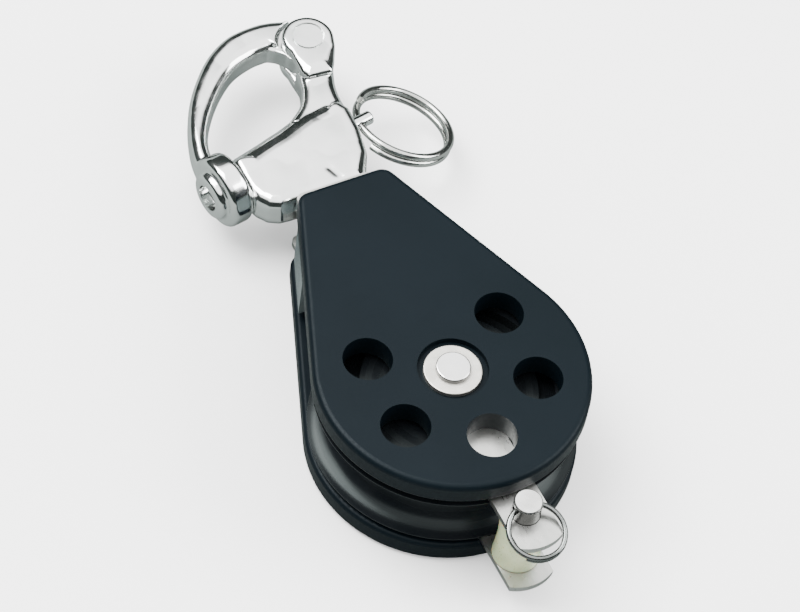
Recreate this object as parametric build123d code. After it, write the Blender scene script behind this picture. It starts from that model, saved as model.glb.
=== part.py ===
"""Single sheave block with becket and snap shackle.

The origin is the sheave's centre, on the axle: X runs across the block, Y from the
axle towards the snap shackle, Z along the axle towards the front cheek. Millimetres.
"""
from build123d import *
from math import atan2, cos, degrees, hypot, radians, sin
import os

# ---- cheeks, sheave and axle
half_thickness = 11.5        # middle plane to a cheek's outer face
cheek_plate = 4.6            # thickness of a cheek over the strap
cheek_radius = 23.9          # round end, about the axle
flank_angle = 21.4           # each flank leans this far towards the head
head_top = 43.5              # axle to the cheek's head edge
head_corner = 2.6
cheek_edge = 1.1             # rounded outer edge
cheek_inner_edge = 0.9       # softer edge towards the sheave
hole_circle = 14.5           # lightening holes: five of six places
hole_radius = 4.3
recess_radius = 6.15         # counterbore for the axle washer
recess_depth = {"front": 1.15, "back": 1.55}
washer_radius = 5.05
washer_thickness = 0.85
axle_radius = 2.75
axle_end_radius = 3.0
axle_end_proud = 0.7         # the front end stands above the cheek
axle_end_sunk = 0.1          # the back end stays inside the cheek
bush_radius = 4.5
running_gap = 0.06
sheave_radius = 23.5
sheave_half = 5.52
groove_radius = 5.35         # rope groove, for 10 mm rope
groove_floor = 18.3
hub_disc_radius = 15.4
web_outer_radius = 18.3
web_half = 3.3

# ---- straps and head
strap_thickness = 1.25
strap_half_width = 4.15
strap_head_half_width = 7.4
strap_head_corner = 1.3
strap_end = 33.6             # axle to the strap's lower corners
strap_end_bulge = 1.2
strap_head_top = 46.4        # the strap shows past the cheek
rivet_radius = 2.5           # head rivet through straps, spacer and shackle tang
rivet_y = 36.0
rivet_head_radius = 4.0
rivet_head = 0.95
spacer_low = 30.6            # the spacer keeps clear of a rope in the groove
fit = 0.05

# ---- becket
becket_y = 27.9
clevis_radius = 2.475
clevis_head_radius = 3.4
clevis_head = 1.2
clevis_top = 10.6
clevis_hole_z = 9.0
clevis_hole_radius = 0.88
clevis_turn = -5.0           # the pin is turned a little in its straps
thimble_end_radius = 4.15
thimble_waist_radius = 3.9
split_ring_radius = 4.85
split_ring_wire = 0.47
split_ring_droop = 13.0

# ---- snap shackle
hinge = (11.6, 80.7)
lug_radius = 4.9
lug_half = 4.5
fork_half = 1.95
tongue_half = 1.85
step_radius = 6.2            # the bail's full section starts here from the hinge
hinge_shank = 2.0
hinge_head_radius = 2.8
hinge_head = 0.9
body_half = 3.6
body_edge = 1.3
arm_half = 3.1
arm_edge = 1.2
tang_half_width = 5.0
tang_half = 3.3
bail_half = 2.9
bail_edge = 1.1
boss_radius = 6.7
boss_span = (0.9, 5.5)       # along the plunger axis
boss_hub_radius = 4.4        # the boss's smaller outer end, round the hole
boss_hub_span = (-0.5, 1.6)
boss_bore = 2.5
plunger_origin = (-19.1, 56.3)
plunger_angle = 9.6
body_left = 5.9              # along the plunger axis: the body's left end
nose_radius = 2.35
nose_tip = 1.5
nose_back = 16.0
spring_end = 26.0
rod_radius = 1.3
rod_end = 35.6
ring_hole = 33.0
ring_hole_radius = 0.93
pull_ring_radius = 9.2
pull_ring_wire = 0.72
pull_ring_turns = 1.82
pull_ring_normal = (0.357, 0.10, 0.929)
pull_ring_aim = (0.925, -0.185, -0.3355)
spring_turns = 6.5
spring_wire = 0.26
spring_radius = 1.95

cheek_inner = half_thickness - cheek_plate
strap_inner = cheek_inner - strap_thickness


# ---- small helpers
def rod(radius, low, high, x=0.0, y=0.0):
    """Round bar along Z between two heights."""
    return Pos(x, y, low) * extrude(Circle(radius), high - low)


def slab(outline, low, high):
    return Pos(0, 0, low) * extrude(outline, high - low, dir=(0, 0, 1))


def along_plunger(distance):
    """Plane across the plunger axis, its normal pointing to the pull ring."""
    angle = radians(plunger_angle)
    ahead = (cos(angle), sin(angle), 0)
    centre = (plunger_origin[0] + distance * ahead[0], plunger_origin[1] + distance * ahead[1], 0)
    return Plane(origin=centre, x_dir=(0, 0, 1), z_dir=ahead)


def plunger_bar(radius, start, end):
    return extrude(along_plunger(start) * Circle(radius), end - start)


def teardrop(inset=0.0):
    """Cheek outline: a round end about the axle and two flanks up to the head."""
    radius = cheek_radius - inset
    top = head_top - inset
    lean = radians(flank_angle)
    tangent = (radius * cos(lean), radius * sin(lean))
    corner = (radius - top * sin(lean)) / cos(lean)
    flanks = Polygon(
        (0, 0), tangent, (corner, top), (-corner, top), (-tangent[0], tangent[1]), align=None
    )
    outline = Circle(radius) + flanks
    corners = outline.vertices().group_by(Axis.Y)[-1]
    return fillet(corners, head_corner - inset)


# ---- cheeks and frame
def front_cheek(side):
    """Moulded cheek with its outer face up."""
    cheek = slab(teardrop(), cheek_inner, half_thickness)
    cheek = fillet(cheek.faces().sort_by(Axis.Z)[-1].edges(), cheek_edge)
    cheek = fillet(cheek.faces().sort_by(Axis.Z)[0].edges(), cheek_inner_edge)
    for angle in (-150, -90, -30, 30, 150):
        x = hole_circle * cos(radians(angle))
        y = hole_circle * sin(radians(angle))
        cheek -= rod(hole_radius, 0, 20, x, y)
    cheek -= rod(axle_radius + fit, 0, 20)
    cheek -= rod(recess_radius, half_thickness - recess_depth[side], 20)
    cheek -= rod(rivet_head_radius + 0.2, 0, cheek_inner + rivet_head + 0.15, 0, rivet_y)
    return cheek


def front_strap():
    """Stainless side strap, broad at the head and narrow past the becket pin."""
    side = Polyline(
        (strap_half_width, -strap_end),
        (strap_half_width, 12),
        (strap_head_half_width, 33),
        (strap_head_half_width, strap_head_top),
        (-strap_head_half_width, strap_head_top),
        (-strap_head_half_width, 33),
        (-strap_half_width, 12),
        (-strap_half_width, -strap_end),
    )
    foot = ThreePointArc(
        (-strap_half_width, -strap_end),
        (0, -strap_end - strap_end_bulge),
        (strap_half_width, -strap_end),
    )
    outline = make_face([side, foot])
    outline = fillet(outline.vertices().group_by(Axis.Y)[-1], strap_head_corner)
    strap = slab(outline, strap_inner, cheek_inner)
    strap -= rod(axle_radius + fit, 0, 20)
    strap -= rod(rivet_radius + fit, 0, 20, 0, rivet_y)
    strap -= rod(clevis_radius + 0.075, 0, 20, 0, -becket_y)
    return strap


def head_spacer():
    """Moulded filler between the straps, with a slot for the shackle's tang."""
    outline = teardrop(0.5) - Pos(0, spacer_low - 60) * Rectangle(120, 120)
    spacer = slab(outline, -strap_inner, strap_inner)
    slot = Pos(0, 40.6, 0) * Box(2 * tang_half_width + 0.3, 20, 2 * tang_half + 0.2)
    spacer -= slot
    spacer -= rod(rivet_radius + fit, -20, 20, 0, rivet_y)
    return spacer


def head_rivet():
    head = rod(rivet_head_radius, cheek_inner, cheek_inner + rivet_head, 0, rivet_y)
    head = chamfer(head.edges().group_by(Axis.Z)[-1], 0.3)
    shank = rod(rivet_radius, -cheek_inner, cheek_inner, 0, rivet_y)
    return shank + head + mirror(head, Plane.XY)


# ---- axle and sheave
def axle_rivet():
    """Solid pin: straight shank, both ends spread over their washers."""
    front_seat = half_thickness - recess_depth["front"] + washer_thickness
    back_seat = half_thickness - recess_depth["back"] + washer_thickness
    shank = rod(axle_radius, -back_seat, front_seat)
    front_end = rod(axle_end_radius, front_seat, half_thickness + axle_end_proud)
    front_end = fillet(front_end.edges().group_by(Axis.Z)[-1], 0.25)
    back_end = rod(axle_end_radius, -(half_thickness - axle_end_sunk), -back_seat)
    return shank + front_end + back_end


def axle_washer(side):
    seat = half_thickness - recess_depth[side]
    washer = rod(washer_radius, seat, seat + washer_thickness)
    washer = fillet(washer.edges().group_by(Axis.Z)[-1], 0.2)
    washer -= rod(axle_radius + fit, 0, 20)
    return washer if side == "front" else mirror(washer, Plane.XY)


def bearing_bush():
    return rod(bush_radius, -strap_inner, strap_inner) - rod(axle_radius + fit, -20, 20)


def sheave():
    """Rope wheel: smooth round groove, raised hub disc, sunk web, thin flanges."""
    wheel = rod(sheave_radius, -sheave_half, sheave_half)
    section = Plane.XZ * (Pos(groove_floor + groove_radius, 0) * Circle(groove_radius))
    wheel -= revolve(section, Axis.Z)
    sunk = Circle(web_outer_radius) - Circle(hub_disc_radius)
    wheel -= slab(sunk, web_half, 20)
    wheel -= slab(sunk, -20, -web_half)
    wheel -= rod(bush_radius + running_gap, -20, 20)
    return wheel


# ---- becket
def becket_clevis_pin():
    shank = rod(clevis_radius, -cheek_inner, clevis_top, 0, -becket_y)
    shank = chamfer(shank.edges().group_by(Axis.Z)[-1], 0.25)
    head = rod(clevis_head_radius, -cheek_inner - clevis_head, -cheek_inner, 0, -becket_y)
    head = fillet(head.edges().group_by(Axis.Z)[0], 0.35)
    aim = (cos(radians(clevis_turn)), sin(radians(clevis_turn)), 0)
    cross = Plane(origin=(0, -becket_y, clevis_hole_z), z_dir=aim)
    return shank + head - extrude(cross * Circle(clevis_hole_radius), 10, both=True)


def becket_thimble():
    """Nylon bobbin on the clevis pin, waisted between its two ends."""
    half = strap_inner - 0.15
    bore = clevis_radius + 0.075
    side = ThreePointArc((thimble_end_radius, -half), (thimble_waist_radius, 0), (thimble_end_radius, half))
    frame = Polyline((thimble_end_radius, half), (bore, half), (bore, -half), (thimble_end_radius, -half))
    section = Plane.XZ * make_face([side, frame])
    return Pos(0, -becket_y, 0) * revolve(section, Axis.Z)


def wire_ring(radius, wire, turns, gap):
    """Split ring about Z, its coil centred on Z = 0 and its middle at angle zero."""
    pitch = 2 * wire + gap
    path = Helix(pitch, pitch * turns, radius)
    ring = sweep(Plane(origin=path @ 0, z_dir=path % 0) * Circle(wire), path, is_frenet=True)
    ring = Pos(0, 0, -pitch * turns / 2) * ring
    return Rot(0, 0, -turns * 180) * ring


def becket_split_ring():
    """Hangs from the cross hole over the strap's end, almost flat."""
    sag = (clevis_radius**2) / (2 * split_ring_radius) / 2
    ring = Rot(0, 0, 90) * wire_ring(split_ring_radius, split_ring_wire, 1.22, 0.06)
    ring = Pos(0, -split_ring_radius + sag, 0) * ring
    return Pos(0, -becket_y, clevis_hole_z) * Rot(0, 0, clevis_turn) * Rot(split_ring_droop, 0, 0) * ring


# ---- snap shackle
def softened(outline, half, radius, curved_only=False):
    """Slab about the middle plane with its outline's edges rounded on both sides."""
    block = slab(outline, -half, half)
    rims = [edge for edge in block.edges() if abs(abs(edge.center().Z) - half) < 1e-6]
    if curved_only:
        rims = [edge for edge in rims if edge.geom_type == GeomType.BSPLINE]
    return fillet(rims, radius)


def shackle_base():
    """Broad base that holds the plunger."""
    outline = Polygon(
        (-13.4, 61.9), (0.8, 65.6), (9.0, 68.0), (12.1, 64.6), (11.7, 57.5), (7.6, 47.2), (-11.4, 47.2),
        align=None,
    )
    corners = outline.vertices()
    outline = fillet(corners.sort_by(Axis.X)[0], 1.2)
    low_left = outline.vertices().sort_by_distance((-11.4, 47.2, 0))[0]
    outline = fillet(low_left, 4.0)
    right = outline.vertices().sort_by_distance((11.7, 57.5, 0))[0]
    outline = fillet(right, 8.0)
    return softened(outline, body_half, body_edge)


def shackle_arm():
    """Arm from the base up to the hinge."""
    left = Spline((6.7, 80.7), (6.6, 75.5), (5.9, 71.2), (3.3, 67.0), (0.0, 64.5))
    foot = Polyline((0.0, 64.5), (1.0, 58.0), (11.6, 58.0), (12.0, 64.5))
    right = Spline((12.0, 64.5), (12.0, 68.6), (13.9, 73.8), (16.2, 79.4))
    top = Polyline((16.2, 79.4), (11.6, 83.0), (6.7, 80.7))
    return softened(make_face([left, foot, right, top]), arm_half, arm_edge)


def hinge_lugs():
    """Round plates about the hinge that run out into the arm."""
    hx, hy = hinge
    reach = 4.7
    drop = (lug_radius**2 - reach**2) ** 0.5
    crown = ThreePointArc((hx - reach, hy - drop), (hx, hy + lug_radius), (hx + reach, hy - drop))
    tail = Polyline((hx + reach, hy - drop), (13.4, 72.8), (8.0, 73.2), (hx - reach, hy - drop))
    return softened(make_face([crown, tail]), lug_half, 0.6)


def shackle_body():
    """Forged body: tang, broad base, arm and the two hinge lugs."""
    hx, hy = hinge
    body = shackle_base() + shackle_arm() + hinge_lugs()
    tang = Circle(tang_half_width) + Pos(0, 7) * Rectangle(2 * tang_half_width, 14)
    body += Pos(0, rivet_y, 0) * slab(tang, -tang_half, tang_half)
    fork = Circle(step_radius + 0.3) + Pos(-6, 6) * Rectangle(12, 12)
    body -= slab(Pos(hx, hy) * fork, -fork_half, fork_half)
    body -= rod(rivet_radius + fit, -20, 20, 0, rivet_y)
    body -= rod(hinge_shank + 0.02, -20, 20, hx, hy)
    seat = rod(hinge_head_radius + 0.02, lug_half - hinge_head, 20, hx, hy)
    body -= seat
    body -= mirror(seat, Plane.XY)
    body -= extrude(along_plunger(body_left - 5) * Rectangle(40, 30), 5)
    body -= plunger_bar(nose_radius + running_gap, 0, spring_end)
    body -= plunger_bar(rod_radius + running_gap, 0, 60)
    return body


def bail_hinge_rivet():
    hx, hy = hinge
    shank = rod(hinge_shank, -lug_half, lug_half, hx, hy)
    head = rod(hinge_head_radius, lug_half - hinge_head, lug_half, hx, hy)
    return shank + head + mirror(head, Plane.XY)


def shackle_bail():
    """Tapered hook from the hinge tongue round to the boss that takes the plunger."""
    hx, hy = hinge
    outer = Spline(
        (hx - 0.6, hy + 7.2), (8.0, 88.4), (3.6, 88.7), (-1.6, 87.9), (-6.8, 84.9), (-11.2, 80.4),
        (-14.7, 75.5), (-17.3, 70.0), (-18.9, 64.5), (-19.4, 59.0),
    )
    foot = Line((-19.4, 59.0), (-15.6, 59.0))
    inner = Spline(
        (-15.6, 59.0), (-15.0, 65.4), (-12.7, 70.4), (-8.6, 75.8), (-3.8, 79.9), (0.8, 81.7), (5.2, 81.4)
    )
    back = Polyline((5.2, 81.4), (hx - 4.5, hy - 1.2), (hx, hy), (hx - 0.6, hy + 7.2))
    hook = softened(make_face([outer, foot, inner, back]), bail_half, bail_edge, True)
    hook -= slab(Pos(hx, hy) * Circle(step_radius), tongue_half, 20)
    hook -= slab(Pos(hx, hy) * Circle(step_radius), -20, -tongue_half)
    hook += rod(lug_radius - 0.2, -tongue_half, tongue_half, hx, hy)
    boss = plunger_bar(boss_radius, *boss_span)
    boss = fillet(boss.edges().filter_by(GeomType.CIRCLE), 0.9)
    hub = plunger_bar(boss_hub_radius, *boss_hub_span)
    hub = fillet(hub.edges().filter_by(GeomType.CIRCLE), 0.7)
    hook += boss + hub
    hook -= rod(hinge_shank + 0.07, -20, 20, hx, hy)
    hook -= plunger_bar(boss_bore, -5, 10)
    return hook


def plunger():
    """Spring-loaded bolt: thick nose into the boss, thin rod out to the pull ring."""
    nose = plunger_bar(nose_radius, nose_tip, nose_back)
    nose = fillet(nose.edges().filter_by(GeomType.CIRCLE), 0.5)
    stem = plunger_bar(rod_radius, nose_back - 1, rod_end)
    stem = fillet(stem.edges().filter_by(GeomType.CIRCLE), 0.5)
    hole = extrude(ring_hole_plane() * Circle(ring_hole_radius), 8, both=True)
    return nose + stem - hole


def ring_hole_plane():
    """At the cross hole, with its normal along the hole."""
    centre = along_plunger(ring_hole).origin
    normal = Vector(*pull_ring_normal)
    aim = Vector(*pull_ring_aim)
    return Plane(origin=centre, z_dir=normal.cross(aim))


def pull_ring():
    """Double-turn split ring hanging off the plunger's end."""
    sag = (rod_radius**2) / (2 * pull_ring_radius) / 2
    hole = along_plunger(ring_hole).origin
    aim = Vector(*pull_ring_aim).normalized()
    centre = hole + aim * (pull_ring_radius - sag)
    ring = wire_ring(pull_ring_radius, pull_ring_wire, pull_ring_turns, 0.06)
    return Plane(origin=centre, x_dir=aim * -1, z_dir=Vector(*pull_ring_normal)) * ring


def plunger_spring():
    """Compression spring between the nose and the end of its bore."""
    length = spring_end - nose_back - 2 * spring_wire - 0.1
    path = Helix(length / spring_turns, length, spring_radius)
    coil = sweep(Plane(origin=path @ 0, z_dir=path % 0) * Circle(spring_wire), path, is_frenet=True)
    return along_plunger(nose_back + spring_wire + 0.05) * coil


pieces = {
    "front_cheek": front_cheek("front"),
    "back_cheek": mirror(front_cheek("back"), Plane.XY),
    "front_strap": front_strap(),
    "back_strap": mirror(front_strap(), Plane.XY),
    "head_spacer": head_spacer(),
    "head_rivet": head_rivet(),
    "axle_rivet": axle_rivet(),
    "front_axle_washer": axle_washer("front"),
    "back_axle_washer": axle_washer("back"),
    "bearing_bush": bearing_bush(),
    "sheave": sheave(),
    "becket_clevis_pin": becket_clevis_pin(),
    "becket_thimble": becket_thimble(),
    "becket_split_ring": becket_split_ring(),
    "shackle_body": shackle_body(),
    "bail_hinge_rivet": bail_hinge_rivet(),
    "shackle_bail": shackle_bail(),
    "plunger": plunger(),
    "plunger_spring": plunger_spring(),
    "pull_ring": pull_ring(),
}

os.makedirs("parts", exist_ok=True)
for name, piece in pieces.items():
    export_step(piece, f"parts/{name}.step")
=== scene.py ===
"""Looks for the single sheave block: materials, finer shapes, studio and camera."""
import math

import bmesh
import bpy
from mathutils import Euler, Matrix, Vector
from mathutils.geometry import tessellate_polygon


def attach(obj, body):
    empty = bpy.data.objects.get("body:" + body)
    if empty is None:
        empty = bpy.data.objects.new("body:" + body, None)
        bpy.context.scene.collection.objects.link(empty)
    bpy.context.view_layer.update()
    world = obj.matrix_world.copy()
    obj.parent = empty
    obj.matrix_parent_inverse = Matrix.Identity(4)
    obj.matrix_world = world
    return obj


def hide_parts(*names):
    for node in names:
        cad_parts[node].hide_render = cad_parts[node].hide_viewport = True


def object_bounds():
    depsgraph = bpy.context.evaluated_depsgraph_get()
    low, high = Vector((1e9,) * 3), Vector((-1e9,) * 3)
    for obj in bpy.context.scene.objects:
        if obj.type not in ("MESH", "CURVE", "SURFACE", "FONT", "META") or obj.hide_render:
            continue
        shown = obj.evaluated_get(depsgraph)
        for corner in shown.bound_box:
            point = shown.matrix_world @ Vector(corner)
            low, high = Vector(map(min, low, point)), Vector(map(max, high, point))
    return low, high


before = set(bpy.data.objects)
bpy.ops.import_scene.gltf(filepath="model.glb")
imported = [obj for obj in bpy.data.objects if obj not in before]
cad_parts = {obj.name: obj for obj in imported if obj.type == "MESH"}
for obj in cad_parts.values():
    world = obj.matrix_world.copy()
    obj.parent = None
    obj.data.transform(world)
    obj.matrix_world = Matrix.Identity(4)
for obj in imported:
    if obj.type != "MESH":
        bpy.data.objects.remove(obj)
cad_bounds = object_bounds()

MM = 0.001
scene = bpy.context.scene


def clamp(value):
    return max(0.0, min(1.0, value))


# ---- materials
CLOUD_RANGE = (0.35, 0.65)   # most of a noise texture's values lie between these
CLOUD_DETAIL = 3.0
WAVE_RATE = 20               # radians per unit of length of a wave texture at scale 1


def add(tree, kind, **settings):
    """New shader node with its settings."""
    node = tree.nodes.new(kind)
    for key, value in settings.items():
        setattr(node, key, value)
    return node


def noise(tree, scale, stretch):
    """Noise in the piece's own space; scale is features per metre."""
    where = add(tree, "ShaderNodeTexCoord")
    mapping = add(tree, "ShaderNodeMapping")
    mapping.inputs["Scale"].default_value = stretch
    tree.links.new(where.outputs["Object"], mapping.inputs["Vector"])
    cloud = add(tree, "ShaderNodeTexNoise")
    cloud.inputs["Scale"].default_value = scale
    cloud.inputs["Detail"].default_value = CLOUD_DETAIL
    tree.links.new(mapping.outputs["Vector"], cloud.inputs["Vector"])
    return cloud.outputs["Fac"]


def turned(tree, radian):
    """Fine rings about the piece's own Z axis, as a lathe leaves: radian is the
    length, in metres, of one radian of the wave."""
    where = add(tree, "ShaderNodeTexCoord")
    wave = add(tree, "ShaderNodeTexWave", wave_type="RINGS", rings_direction="Z")
    wave.inputs["Scale"].default_value = 1 / (radian * WAVE_RATE)
    wave.inputs["Distortion"].default_value = 0.6
    wave.inputs["Detail"].default_value = 2.0
    wave.inputs["Detail Scale"].default_value = 1.5
    tree.links.new(where.outputs["Object"], wave.inputs["Vector"])
    return wave.outputs["Fac"]


def ranged(tree, source, low, high, start=0.3, end=0.7):
    """The source's values from start to end, spread over low to high."""
    scale = add(tree, "ShaderNodeMapRange")
    scale.inputs["From Min"].default_value = start
    scale.inputs["From Max"].default_value = end
    scale.inputs["To Min"].default_value = low
    scale.inputs["To Max"].default_value = high
    tree.links.new(source, scale.inputs["Value"])
    return scale.outputs["Result"]


def paint_wall_shade(tree, colour, wall_shade_share):
    """Painted shade: the colour, down to this share of it on the walls that stand along the axle."""
    where = add(tree, "ShaderNodeTexCoord")
    split = add(tree, "ShaderNodeSeparateXYZ")
    size = add(tree, "ShaderNodeMath", operation="ABSOLUTE")
    mix = add(tree, "ShaderNodeVectorMath", operation="SCALE")
    tree.links.new(where.outputs["Normal"], split.inputs["Vector"])
    tree.links.new(split.outputs["Z"], size.inputs[0])
    wall_shade_mask = ranged(tree, size.outputs["Value"], wall_shade_share, 1.0, start=0.2, end=0.9)
    tree.links.new(wall_shade_mask, mix.inputs["Scale"])
    tree.links.new(colour, mix.inputs[0])
    return mix.outputs["Vector"]


def material(name, dark, light, rough, metallic=0.0, specular=0.5, patch=120, stretch=(1, 1, 1),
             grain=2500, bump=0.05, depth=0.00002, rings=None, tint=None, side=None):
    """Principled material: the colour drifts with soft noise, the roughness with a fine
    grain or, with rings, with a lathe's rings; the same grain is the bump.

    patch and grain are noise scales per metre, tint colours the specular reflection, and
    side is the share of the colour left on upright walls, as painted shade.
    """
    mat = bpy.data.materials.new(name)
    mat.use_nodes = True
    tree = mat.node_tree
    shader = tree.nodes["Principled BSDF"]
    shader.inputs["Metallic"].default_value = metallic
    shader.inputs["Specular IOR Level"].default_value = specular
    if tint:
        shader.inputs["Specular Tint"].default_value = (*tint, 1)
    cloud = noise(tree, patch, stretch)
    ramp = add(tree, "ShaderNodeValToRGB")
    for stop, position, colour in zip(ramp.color_ramp.elements, CLOUD_RANGE, (dark, light)):
        stop.position = position
        stop.color = (*colour, 1)
    tree.links.new(cloud, ramp.inputs["Fac"])
    colour = ramp.outputs["Color"]
    # painted shade: upright walls get a darker base colour
    if side:
        colour = paint_wall_shade(tree, colour, side)
    tree.links.new(colour, shader.inputs["Base Color"])
    fine = turned(tree, rings) if rings else noise(tree, grain, stretch)
    tree.links.new(ranged(tree, fine, *rough), shader.inputs["Roughness"])
    if not bump:
        return mat
    relief = add(tree, "ShaderNodeBump")
    relief.inputs["Strength"].default_value = bump
    relief.inputs["Distance"].default_value = depth
    tree.links.new(fine, relief.inputs["Height"])
    tree.links.new(relief.outputs["Normal"], shader.inputs["Normal"])
    return mat


# name, darkest and lightest colour, range of roughness
cheek_mat = material("cheek_nylon", (0.0010, 0.0028, 0.0042), (0.0014, 0.0034, 0.0050),
                     (0.36, 0.48), specular=0.16, patch=60, grain=1800, bump=0.25,
                     tint=(0.40, 0.44, 0.46))
sheave_mat = material("sheave_acetal", (0.003, 0.004, 0.005), (0.005, 0.006, 0.007),
                      (0.22, 0.30), specular=0.4, rings=0.0004, bump=0.06,
                      tint=(0.30, 0.35, 0.34))
spacer_mat = material("spacer_nylon", (0.045, 0.060, 0.061), (0.065, 0.082, 0.083),
                      (0.4, 0.55), specular=0.35, bump=0.2)
strap_mat = material("strap_steel", (0.46, 0.47, 0.45), (0.52, 0.52, 0.50), (0.27, 0.31),
                     metallic=1.0, stretch=(3, 1, 3), patch=260, grain=900, bump=0.0)
rivet_mat = material("rivet_steel", (0.66, 0.65, 0.61), (0.72, 0.71, 0.68), (0.30, 0.40),
                     metallic=1.0, rings=0.00022, bump=0.12)
washer_mat = material("washer_steel", (0.50, 0.49, 0.45), (0.60, 0.59, 0.55), (0.42, 0.55),
                      metallic=1.0, rings=0.0002, patch=500, bump=0.2)
# axle rivet: painted shade on its upright walls (side)
axle_mat = material("axle_steel", (0.78, 0.78, 0.77), (0.86, 0.86, 0.85), (0.16, 0.24),
                    metallic=1.0, patch=300, bump=0.1, side=0.16)
# clevis pin: painted shade on its upright walls (side)
pin_mat = material("pin_steel", (0.58, 0.58, 0.56), (0.74, 0.74, 0.72), (0.18, 0.30),
                   metallic=1.0, patch=300, bump=0.1, side=0.12)
small_ring_mat = material("split_ring_steel", (0.12, 0.13, 0.125), (0.18, 0.19, 0.185),
                          (0.2, 0.3), metallic=1.0, patch=240, grain=1500, bump=0.1)
polish_mat = material("shackle_steel", (0.78, 0.80, 0.79), (0.92, 0.93, 0.92), (0.10, 0.18),
                      metallic=1.0, patch=110, grain=420, bump=0.3, depth=0.00003)
ring_mat = material("ring_steel", (0.46, 0.47, 0.45), (0.60, 0.61, 0.59), (0.14, 0.24),
                    metallic=1.0, patch=240, grain=1500, bump=0.15)
thimble_mat = material("thimble_nylon", (0.20, 0.23, 0.13), (0.28, 0.31, 0.19), (0.25, 0.4),
                       specular=0.5, patch=200, bump=0.1)
bush_mat = material("bush_acetal", (0.70, 0.70, 0.66), (0.76, 0.76, 0.73), (0.4, 0.55), bump=0.1)

# plain nylon lets a little light through
thimble_shader = thimble_mat.node_tree.nodes["Principled BSDF"]
thimble_shader.inputs["Subsurface Weight"].default_value = 0.35
thimble_shader.inputs["Subsurface Scale"].default_value = 0.002

LOOKS = {
    "front_cheek": cheek_mat,
    "back_cheek": cheek_mat,
    "front_strap": strap_mat,
    "back_strap": strap_mat,
    "head_spacer": spacer_mat,
    "head_rivet": rivet_mat,
    "axle_rivet": axle_mat,
    "front_axle_washer": washer_mat,
    "back_axle_washer": washer_mat,
    "bearing_bush": bush_mat,
    "sheave": sheave_mat,
    "becket_clevis_pin": pin_mat,
    "becket_thimble": thimble_mat,
    "becket_split_ring": small_ring_mat,
    "shackle_body": polish_mat,
    "bail_hinge_rivet": polish_mat,
    "shackle_bail": polish_mat,
    "plunger": polish_mat,
    "plunger_spring": ring_mat,
    "pull_ring": ring_mat,
}
for node, look in LOOKS.items():
    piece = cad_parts[node]
    piece.data.materials.clear()
    piece.data.materials.append(look)


# ---- cast pieces of the snap shackle, in millimetres
HINGE = (11.6, 80.7)         # the bail's hinge rivet
PLUNGER_START = Vector((-19.1, 56.3, 0))
PLUNGER_TILT = math.radians(9.6)
PLUNGER_AHEAD = Vector((math.cos(PLUNGER_TILT), math.sin(PLUNGER_TILT), 0))

CURVE_STEPS = 8              # straight steps between two points of a smooth line
POINT_SPACING = 0.35         # along an outline
RIM_STEPS = 7                # rows of faces in a cast rim
DISC_STEPS = 6               # rows of faces in a turned rim
VOXEL = 0.16
SHARP_ANGLE = math.radians(35)
OUT = 9                      # a cutter's reach, past every face

BASE_HALF = 3.6              # half thickness of the body's base
ARM_HALF = 3.05
LUG_INNER, LUG_OUTER = 1.95, 4.47
LUG_RADIUS = 4.85
TANG_HALF = 3.3
HOOK_HALF = 2.88
TONGUE_HALF = 1.83           # the bail's part between the lugs
EYE_RADIUS = 4.7
HEAD_SEAT_RADIUS = 3.15      # counterbores for the hinge rivet's heads
HEAD_SEAT_FLOOR = 3.5
LUG_BORE = 2.05
EYE_BORE = 2.07
HEAD_RIVET_BORE = 2.55
HEAD_RIVET_Y = 36.0
NOSE_BORE = 2.45             # in the body, for the plunger's nose and spring
NOSE_BORE_END = 26
ROD_BORE = 1.42              # in the body, for the plunger's thin end
BOSS_BORE = 2.5              # in the bail, for the plunger's nose
FORK_RADIUS = 6.5            # the arm is cut back to this round the hinge
HOOK_RADIUS = 5.75           # and the hook to this


def smooth_line(points):
    """Open Catmull-Rom curve through the points."""
    pts = [Vector(p) for p in points]
    last = len(pts) - 1
    out = []
    for i in range(last):
        a, b, c, d = pts[max(i - 1, 0)], pts[i], pts[i + 1], pts[min(i + 2, last)]
        for k in range(CURVE_STEPS):
            t = k / CURVE_STEPS
            out.append(0.5 * ((2 * b) + (c - a) * t + (2 * a - 5 * b + 4 * c - d) * t * t
                              + (3 * b - a - 3 * c + d) * t**3))
    out.append(pts[-1])
    return out


def arc(centre, radius, start, end, count):
    """Points on a circle between two angles in degrees."""
    step = (end - start) / count
    turns = [math.radians(start + i * step) for i in range(count + 1)]
    return [Vector((centre[0] + radius * math.cos(a), centre[1] + radius * math.sin(a)))
            for a in turns]


def even(points):
    """The same closed outline with evenly spaced points, counter-clockwise."""
    pts = [Vector(p) for p in points]
    area = sum(a.cross(b) for a, b in zip(pts, pts[1:] + pts[:1]))
    if area < 0:
        pts.reverse()
    lengths = [(b - a).length for a, b in zip(pts, pts[1:] + pts[:1])]
    total = sum(lengths)
    count = int(total / POINT_SPACING)
    out, i, run = [], 0, 0.0
    for k in range(count):
        goal = total * k / count
        while run + lengths[i] < goal:
            run += lengths[i]
            i += 1
        a, b = pts[i], pts[(i + 1) % len(pts)]
        out.append(a.lerp(b, (goal - run) / max(lengths[i], 1e-9)))
    return out


def inward(points):
    """At each point of a counter-clockwise outline, the unit vector into it."""
    count = len(points)
    ways = []
    for i in range(count):
        run = points[(i + 2) % count] - points[i - 2]
        ways.append(Vector((-run.y, run.x)).normalized())
    return ways


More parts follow.
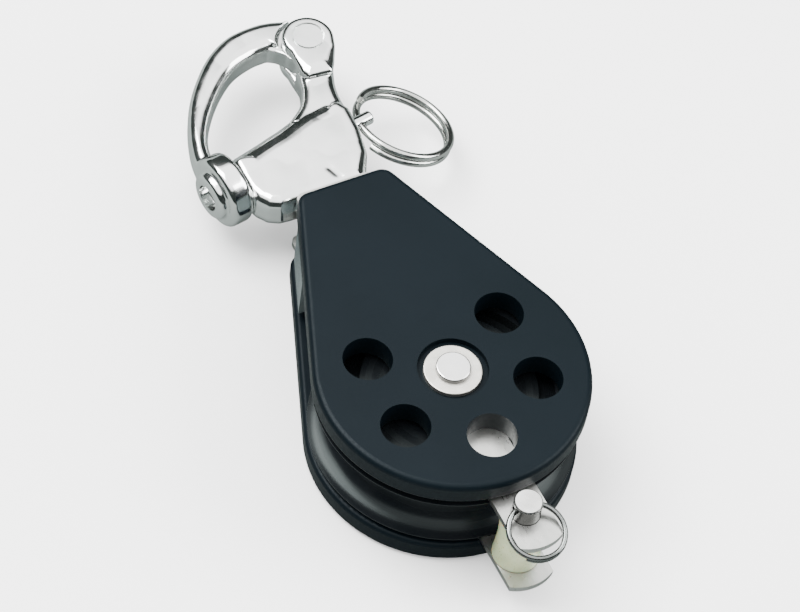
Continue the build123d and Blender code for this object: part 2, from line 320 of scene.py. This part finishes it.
def cast_slab(outline, low, high, rim):
    """Closed mesh between two heights with both rims rounded.

    rim is a radius, or a function of the outline point giving (inset, depth).
    """
    points = even(outline)
    ways = inward(points)
    sizes = [rim(p) if callable(rim) else (rim, rim) for p in points]
    half = (high - low) / 2
    middle = (high + low) / 2
    rings = []
    for side in (-1, 1):
        turns = [math.radians(90 * k / RIM_STEPS) for k in range(RIM_STEPS + 1)]
        if side < 0:
            turns.reverse()
        for turn in turns:
            ring = []
            for point, way, (inset, depth) in zip(points, ways, sizes):
                depth = min(depth, half)
                at = point + way * inset * (1 - math.cos(turn))
                ring.append((at.x, at.y, middle + side * (half - depth * (1 - math.sin(turn)))))
            rings.append(ring)
    mesh = bmesh.new()
    rows = [[mesh.verts.new(p) for p in ring] for ring in rings]
    count = len(points)
    for lower, upper in zip(rows, rows[1:]):
        for i in range(count):
            j = (i + 1) % count
            mesh.faces.new((lower[i], lower[j], upper[j], upper[i]))
    for row, up in ((rows[0], False), (rows[-1], True)):
        for tri in tessellate_polygon([[v.co for v in row]]):
            a, b, c = (row[k] for k in tri)
            faces_up = (b.co - a.co).cross(c.co - a.co).z > 0
            mesh.faces.new((a, b, c) if faces_up == up else (a, c, b))
    return mesh


def spun(profile, origin, axis, steps=64):
    """Closed solid of revolution: profile is (distance along the axis, radius)."""
    side = axis.orthogonal().normalized()
    up = axis.cross(side)
    mesh = bmesh.new()
    rows = []
    turns = [2 * math.pi * i / steps for i in range(steps)]
    for along, radius in profile:
        centre = origin + axis * along
        rows.append([mesh.verts.new(centre + (side * math.cos(a) + up * math.sin(a)) * radius)
                     for a in turns])
    for lower, upper in zip(rows, rows[1:]):
        for i in range(steps):
            j = (i + 1) % steps
            mesh.faces.new((lower[i], lower[j], upper[j], upper[i]))
    mesh.faces.new(list(reversed(rows[0])))
    mesh.faces.new(rows[-1])
    bmesh.ops.recalc_face_normals(mesh, faces=mesh.faces)
    return mesh


def rounded_disc(start, end, radius, edge):
    """Profile of a disc with both rims rounded."""
    turns = [math.radians(90 * k / DISC_STEPS) for k in range(DISC_STEPS + 1)]
    rim = [(edge * (1 - math.sin(a)), radius - edge * (1 - math.cos(a))) for a in turns]
    first = [(start + along, size) for along, size in reversed(rim)]
    return first + [(end - along, size) for along, size in rim]


def to_object(name, mesh, scale=MM):
    """Object from a mesh, which is freed; scale takes its lengths to metres."""
    data = bpy.data.meshes.new(name)
    mesh.to_mesh(data)
    mesh.free()
    data.transform(Matrix.Scale(scale, 4))
    obj = bpy.data.objects.new(name, data)
    scene.collection.objects.link(obj)
    return obj


def apply_all(obj):
    """The object's mesh with its modifiers worked in."""
    bpy.context.view_layer.update()
    depsgraph = bpy.context.evaluated_depsgraph_get()
    data = bpy.data.meshes.new_from_object(obj.evaluated_get(depsgraph))
    obj.modifiers.clear()
    obj.data = data


def cut(obj, *meshes):
    """Take each closed mesh away from the object."""
    for mesh in meshes:
        tool = to_object("tool", mesh)
        mod = obj.modifiers.new("cut", "BOOLEAN")
        mod.operation = "DIFFERENCE"
        mod.solver = "EXACT"
        mod.object = tool
        apply_all(obj)
        bpy.data.objects.remove(tool)


def merge(name, objects, rounds=8):
    """One cast surface from overlapping closed solids, with blended corners."""
    mesh = bmesh.new()
    for obj in objects:
        mesh.from_mesh(obj.data)
        bpy.data.objects.remove(obj)
    whole = to_object(name, mesh, 1.0)
    remesh = whole.modifiers.new("remesh", "REMESH")
    remesh.mode = "VOXEL"
    remesh.voxel_size = VOXEL * MM
    remesh.adaptivity = 0.0
    relax = whole.modifiers.new("relax", "SMOOTH")
    relax.factor = 0.5
    relax.iterations = rounds
    apply_all(whole)
    return whole


def rod_mesh(radius, low, high, x, y):
    """Round rod along Z."""
    return spun([(low, radius), (high, radius)], Vector((x, y, 0)), Vector((0, 0, 1)), 96)


def finish_piece(obj, body, node, look):
    obj.data.materials.clear()
    obj.data.materials.append(look)
    obj.data.shade_smooth()
    obj.data.set_sharp_from_angle(angle=SHARP_ANGLE)
    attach(obj, body)
    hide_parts(node)


def base_rim(point):
    """The top edge is a big half-round nose; the others are plainly rounded."""
    top = 61.2 + (point.x + 13.4) * 0.24
    near_top = clamp((point.y - top + 1.6) / 1.6)
    near_foot = clamp((54.0 - point.y) / 4.0)
    inset = 1.5 + 2.9 * near_top + 0.6 * near_foot
    return inset, 1.7 + 1.75 * near_top + 0.8 * near_foot


def from_hinge(point):
    return math.hypot(point.x - HINGE[0], point.y - HINGE[1])


def arm_rim(point):
    """Well rounded sides, crisp where the fork is cut round the hinge."""
    plain = clamp((from_hinge(point) - FORK_RADIUS - 0.1) / 1.2)
    return 0.3 + 1.4 * plain, 0.3 + 1.4 * plain


def lug_rim(point):
    """The lug's lower end slopes away into the arm."""
    tail = clamp((77.0 - point.y) / 3.5)
    return 0.8 + 1.5 * tail, 0.8 + 0.7 * tail


# height of each wave in mm, its radians per mm along X and Y, and its phase
POLISH = [(0.035, 0.42, 0.25, 0.4), (0.025, -0.3, 0.5, 2.0), (0.012, 1.1, -0.7, 1.0)]
POLISHED_FROM = 1.0          # distance from the middle plane


def hand_polish(obj):
    """Slow hand-polished unevenness on the faces away from the middle plane."""
    for vert in obj.data.vertices:
        x, y, z = vert.co / MM
        if abs(z) > POLISHED_FROM:
            lift = sum(size * math.sin(x * kx + y * ky + shift) for size, kx, ky, shift in POLISH)
            vert.co.z += math.copysign(lift * MM, z)


def dimple(obj, start, end, deep, wide):
    """Small long casting mark in the front face of the base."""
    a, b = Vector(start), Vector(end)
    run = b - a
    for vert in obj.data.vertices:
        if vert.co.z > (BASE_HALF - 0.3) * MM:
            at = Vector((vert.co.x, vert.co.y)) / MM
            part = clamp((at - a).dot(run) / run.length_squared)
            away = (at - a - run * part).length
            vert.co.z -= deep * MM * math.exp(-((away / wide) ** 2))


def shackle_body():
    """Tang, base, arm and the two hinge lugs, with the bores for the rivets and plunger."""
    hx, hy = HINGE
    base = [(-13.1, 57.0), (-13.1, 52.8), (-12.6, 50.6), (-11.2, 48.6), (-9.0, 47.5),
            (-7.0, 47.3), (7.6, 47.3), (10.6, 53.0), (11.8, 58.6), (12.0, 63.6), (10.4, 66.6),
            (8.0, 67.4), (3.1, 66.6), (-2.3, 64.6), (-9.0, 62.6), (-12.3, 61.7), (-13.1, 60.2)]
    parts = [to_object("base", cast_slab(base, -BASE_HALF, BASE_HALF, base_rim))]
    left = smooth_line([(6.9, 75.6), (6.6, 73.6), (5.7, 70.6), (3.8, 67.6), (0.4, 65.0)])
    right = smooth_line([(11.9, 63.0), (11.8, 66.5), (12.3, 69.8), (13.5, 73.2)])
    fork = arc((hx, hy), FORK_RADIUS, -70, -132, 16)
    arm = [*left, (1.0, 60.0), (11.6, 60.0), *right, *fork]
    parts.append(to_object("arm", cast_slab(arm, -ARM_HALF, ARM_HALF, arm_rim)))
    crown = arc((hx, hy), LUG_RADIUS, -22, 202, 40)
    plate = [*crown, (7.1, 76.4), (7.0, 73.8), (7.8, 72.2), (12.6, 71.8), (13.9, 73.9),
             (15.5, 77.1)]
    parts.append(to_object("lug", cast_slab(plate, -LUG_OUTER, -LUG_INNER, lug_rim)))
    parts.append(to_object("lug", cast_slab(plate, LUG_INNER, LUG_OUTER, lug_rim)))
    tang = [(-5, 36), (-3.6, 32.4), (0, 31.1), (3.6, 32.4), (5, 36), (5, 50), (-5, 50)]
    parts.append(to_object("tang", cast_slab(tang, -TANG_HALF, TANG_HALF, 0.4)))
    body = merge("cast_body", parts)
    hand_polish(body)
    dimple(body, (2.4, 51.9), (3.4, 49.0), deep=0.12, wide=0.75)
    cut(body,
        rod_mesh(HEAD_SEAT_RADIUS, HEAD_SEAT_FLOOR, OUT, hx, hy),
        rod_mesh(HEAD_SEAT_RADIUS, -OUT, -HEAD_SEAT_FLOOR, hx, hy),
        rod_mesh(LUG_BORE, -OUT, OUT, hx, hy),
        spun([(0, NOSE_BORE), (NOSE_BORE_END, NOSE_BORE)], PLUNGER_START, PLUNGER_AHEAD),
        spun([(20, ROD_BORE), (50, ROD_BORE)], PLUNGER_START, PLUNGER_AHEAD),
        rod_mesh(HEAD_RIVET_BORE, -OUT, OUT, 0, HEAD_RIVET_Y))
    return body


def hook_rim(point):
    """Well rounded along the hook, crisp where it is cut back round the lugs."""
    plain = clamp((from_hinge(point) - HOOK_RADIUS - 0.05) / 0.8)
    return 0.3 + 1.6 * plain, 0.3 + 1.7 * plain


def shackle_bail():
    """Hook with its hinge tongue and eye, and the boss that the plunger locks."""
    hx, hy = HINGE
    outer = smooth_line([(10.6, 87.3), (7.0, 88.35), (3.6, 88.6), (-1.6, 87.8), (-6.8, 84.8),
                         (-11.2, 80.3), (-14.7, 75.4), (-17.3, 69.9), (-18.9, 64.4),
                         (-19.3, 59.0)])
    inner = smooth_line([(-15.5, 59.0), (-15.2, 65.2), (-12.8, 70.4), (-8.6, 75.8),
                         (-3.8, 79.9), (0.8, 81.7), (4.0, 82.1)])
    end = arc((hx, hy), HOOK_RADIUS, 164, 100, 20)
    hook = cast_slab([*outer, *inner, *end], -HOOK_HALF, HOOK_HALF, hook_rim)
    tongue = [(3.0, 83.0), (5.4, 81.5), (8.6, 78.4), (hx, hy), (11.4, 85.3), (10.4, 87.0),
              (6.0, 87.4)]
    boss = rounded_disc(0.95, 5.45, 6.65, 1.1)
    hub = rounded_disc(-0.45, 2.4, 4.5, 1.0)
    parts = [
        to_object("hook", hook),
        to_object("tongue", cast_slab(tongue, -TONGUE_HALF, TONGUE_HALF, 0.1)),
        to_object("eye", rod_mesh(EYE_RADIUS, -TONGUE_HALF, TONGUE_HALF, hx, hy)),
        to_object("boss", spun(boss, PLUNGER_START, PLUNGER_AHEAD)),
        to_object("hub", spun(hub, PLUNGER_START, PLUNGER_AHEAD)),
    ]
    bail = merge("cast_bail", parts, rounds=12)
    hand_polish(bail)
    cut(bail,
        spun([(-4, BOSS_BORE), (9, BOSS_BORE)], PLUNGER_START, PLUNGER_AHEAD),
        rod_mesh(EYE_BORE, -OUT, OUT, hx, hy))
    return bail


finish_piece(shackle_body(), "block", "shackle_body", polish_mat)
finish_piece(shackle_bail(), "bail", "shackle_bail", polish_mat)

# ---- floor, light and camera, in metres
STAGE_RADIUS = 0.8
FLOOR_Z = cad_bounds[0][2] - 0.0001
CARD_Z = FLOOR_Z + 0.00005


def disc(name, height):
    bpy.ops.mesh.primitive_circle_add(vertices=96, radius=STAGE_RADIUS, fill_type="NGON",
                                      location=(0, 0.03, height))
    bpy.context.object.name = name
    return bpy.context.object


floor = disc("studio_floor", FLOOR_Z)
floor_mat = material("floor_white", (0.90, 0.90, 0.90), (0.91, 0.91, 0.91), (0.85, 0.95), specular=0.1,
                     patch=3, grain=40, bump=0.02)
floor.data.materials.append(floor_mat)

# a grey card that only reflections see, so that the steel mirrors something darker than the floor
card_mat = material("card_grey", (0.12, 0.135, 0.13), (0.14, 0.155, 0.15), (0.85, 0.95), specular=0.05,
                    patch=3, grain=40, bump=0.02)
card = disc("studio_card", CARD_Z)
card.data.materials.append(card_mat)
card.visible_camera = False
card.visible_diffuse = False
card.visible_shadow = False
card.visible_transmission = False

# even light for everything except reflections, which see a sky dark low down and white above
WORLD_STRENGTH = 2.7
EVEN_SKY = (0.92, 0.92, 0.92, 1)
DARK_SKY = (0.008, 0.011, 0.010, 1)
WHITE_SKY = (1.25, 1.25, 1.25, 1)
DARK_BELOW, WHITE_ABOVE = 0.66, 0.765        # Z of the direction

world = bpy.data.worlds.new("studio")
world.use_nodes = True
sky = world.node_tree
backdrop = sky.nodes["Background"]
backdrop.inputs["Strength"].default_value = WORLD_STRENGTH
direction = add(sky, "ShaderNodeTexCoord")
split = add(sky, "ShaderNodeSeparateXYZ")
ramp = add(sky, "ShaderNodeValToRGB")
sky.links.new(direction.outputs["Generated"], split.inputs["Vector"])
sky.links.new(split.outputs["Z"], ramp.inputs["Fac"])
bands = ramp.color_ramp.elements
bands[0].position, bands[0].color = DARK_BELOW, DARK_SKY
bands[1].position, bands[1].color = WHITE_ABOVE, WHITE_SKY
path = add(sky, "ShaderNodeLightPath")
choice = add(sky, "ShaderNodeMix", data_type="RGBA")
plain, mirrored = (i for i in choice.inputs if i.type == "RGBA")
mixed = next(o for o in choice.outputs if o.type == "RGBA")
plain.default_value = EVEN_SKY
sky.links.new(path.outputs["Is Glossy Ray"], choice.inputs["Factor"])
sky.links.new(ramp.outputs["Color"], mirrored)
sky.links.new(mixed, backdrop.inputs["Color"])
scene.world = world


AIM = Vector((0, 0.03, 0))


def area_light(name, place, side, watts):
    """Square soft light, turned to the middle of the block."""
    data = bpy.data.lights.new(name, "AREA")
    data.shape = "RECTANGLE"
    data.size = data.size_y = side
    data.energy = watts
    lamp = bpy.data.objects.new(name, data)
    lamp.location = place
    lamp.rotation_euler = (AIM - Vector(place)).to_track_quat("-Z", "Y").to_euler()
    scene.collection.objects.link(lamp)


area_light("key", (-0.25, 0.35, 0.75), 0.6, 22)
area_light("fill", (0.6, -0.3, 0.5), 0.5, 9)

CAMERA_PLACE = (-0.17346, -0.23618, 0.43026)
CAMERA_TURN = (35.562, -5.700, -26.311)      # degrees

cam_data = bpy.data.cameras.new("camera")
cam_data.sensor_width = 36
cam_data.lens = 136.34
cam_data.clip_start = 0.01
cam = bpy.data.objects.new("camera", cam_data)
cam.location = CAMERA_PLACE
cam.rotation_euler = Euler([math.radians(a) for a in CAMERA_TURN], "XYZ")
scene.collection.objects.link(cam)
scene.camera = cam
